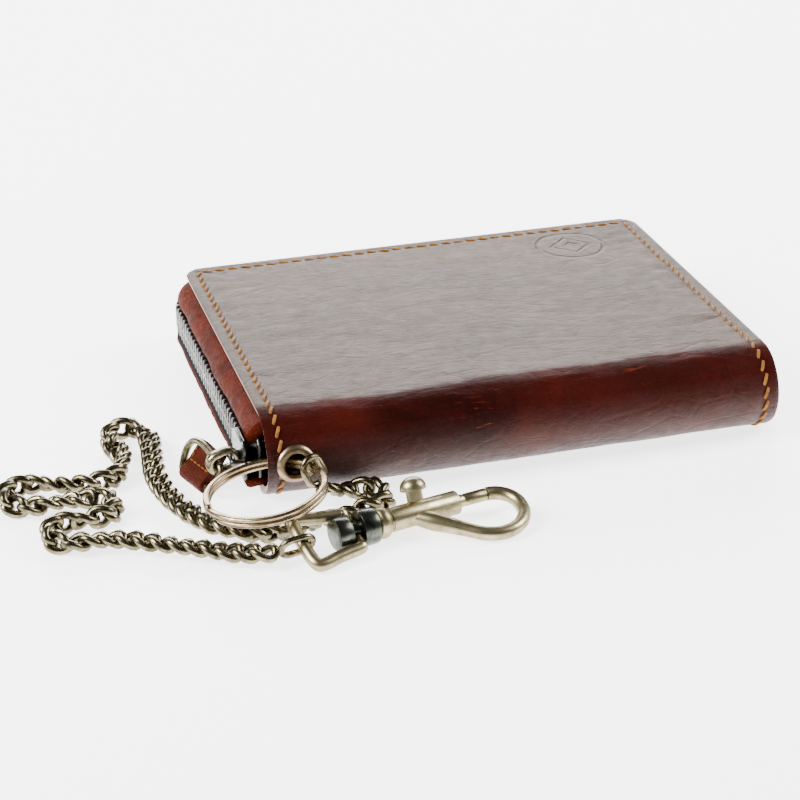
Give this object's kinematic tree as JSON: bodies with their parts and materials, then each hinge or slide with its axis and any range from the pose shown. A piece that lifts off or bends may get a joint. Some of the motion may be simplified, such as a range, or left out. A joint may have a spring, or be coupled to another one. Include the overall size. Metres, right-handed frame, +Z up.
{
  "type": "chain wallet",
  "caption": "Closed leather biker wallet with a zip round three sides, a leather zip pull, an eyelet, a split ring and a curb chain ending in a swivel snap hook.",
  "frame": {"origin": "centre of the closed wallet's footprint, on the table under the back cover", "axes": "+X along the spine towards the end away from the chain, +Y from the spine to the long zipped side, +Z up out of the front cover"},
  "size_m": [0.1813, 0.1297, 0.02],
  "materials": {
    "cover_leather": "waxed, creased",
    "gusset_leather": "matt grained",
    "board": "matt",
    "lining": "matt",
    "inner_leather": "matt grained",
    "zip_tape": "matt",
    "zip_metal": "antique nickel",
    "slider_metal": "dark gunmetal",
    "eyelet_brass": "antique",
    "ring_brass": "antique",
    "chain_brass": "dark antique",
    "swivel_metal": "dark antique",
    "bolt_steel": "antique plated",
    "spring_steel": "bright",
    "hook_brass": "brushed antique",
    "tab_leather": "matt",
    "pull_brass": "antique"
  },
  "bodies": {
    "wallet": {"back_cover": "cover_leather", "spine_cover": "cover_leather", "eyelet": "eyelet_brass", "eyelet_washer": "eyelet_brass", "back_board": "board", "back_lining": "lining", "back_card_pocket_1": "inner_leather", "back_card_pocket_2": "inner_leather", "back_card_pocket_3": "inner_leather", "back_card_pocket_4": "inner_leather", "coin_purse": "inner_leather", "coin_zip_tape": "zip_tape", "coin_zip_teeth": "zip_metal", "back_gusset": "gusset_leather", "zip_tape_lower": "zip_tape", "zip_teeth_lower": "zip_metal", "chain_end_link_ring": "chain_brass", "chain": "chain_brass", "hook_bail": "hook_brass", "chain_end_link_hook": "chain_brass", "zip_bottom_stops": "zip_metal"},
    "front_half": {"front_cover": "cover_leather", "front_board": "board", "front_lining": "lining", "front_card_pocket_1": "inner_leather", "front_card_pocket_2": "inner_leather", "front_card_pocket_3": "inner_leather", "front_card_pocket_4": "inner_leather", "front_gusset": "gusset_leather", "zip_tape_upper": "zip_tape", "zip_teeth_upper": "zip_metal"},
    "zip_slider_body": {"zip_slider": "slider_metal", "slider_bail": "slider_metal"},
    "pull_link_body": {"pull_link": "pull_brass"},
    "pull_loop_body": {"pull_loop": "pull_brass"},
    "pull_tab_body": {"pull_tab": "tab_leather"},
    "ring_body": {"split_ring": "ring_brass"},
    "swivel_body": {"hook_swivel": "swivel_metal"},
    "hook": {"hook_body": "hook_brass", "bolt_spring": "spring_steel"},
    "bolt": {"hook_bolt": "bolt_steel", "hook_knob": "hook_brass"},
    "coin_slider_body": {"coin_zip_slider": "slider_metal"}
  },
  "joints": [
    {"name": "cover_fold", "type": "hinge", "parent": "wallet", "child": "front_half", "pos_m": [0, -0.038, 0.02015], "axis": [1, 0, 0], "range_deg": [0, 180], "deforming": ["zip_tape_upper", "zip_teeth_upper", "front_gusset"]},
    {"name": "zip_slide", "type": "slide", "parent": "wallet", "child": "zip_slider_body", "axis": [0, 1, 0], "range_m": [0, 0.072], "deforming": ["zip_tape_lower", "zip_teeth_lower"]},
    {"name": "pull_link_swing", "type": "hinge", "parent": "zip_slider_body", "child": "pull_link_body", "pos_m": [-0.06635, -0.03775, 0.009], "axis": [0, 1, 0], "range_deg": [0, 50]},
    {"name": "pull_loop_swing", "type": "hinge", "parent": "pull_link_body", "child": "pull_loop_body", "pos_m": [-0.06922, -0.03775, 0.00796], "axis": [-0.3, 0.9539, 0], "range_deg": [0, 15]},
    {"name": "pull_tab_swing", "type": "hinge", "parent": "pull_loop_body", "child": "pull_tab_body", "pos_m": [-0.07302, -0.03266, 0.00195], "axis": [-0.3, 0.9539, 0], "range_deg": [0, 24]},
    {"name": "split_ring_turn", "type": "hinge", "parent": "wallet", "child": "ring_body", "pos_m": [-0.0624, -0.056, 0.0089], "axis": [-0.1288, 0, 0.9917], "continuous": true},
    {"name": "swivel_turn", "type": "hinge", "parent": "wallet", "child": "swivel_body", "pos_m": [-0.0467, -0.0696, 0.00405], "axis": [0.9744, 0.225, 0], "continuous": true},
    {"name": "hook_turn", "type": "hinge", "parent": "swivel_body", "child": "hook", "pos_m": [-0.0467, -0.0696, 0.00405], "axis": [0.9744, 0.225, 0], "continuous": true},
    {"name": "bolt_slide", "type": "slide", "parent": "hook", "child": "bolt", "axis": [-0.9744, -0.225, 0], "range_m": [0, 0.0035], "stiffness_N_per_m": 300, "springref_m": -0.001, "deforming": ["bolt_spring"]},
    {"name": "coin_zip_slide", "type": "slide", "parent": "wallet", "child": "coin_slider_body", "axis": [1, 0, 0], "range_m": [0, 0.075], "deforming": ["coin_zip_tape", "coin_zip_teeth"]}
  ]
}
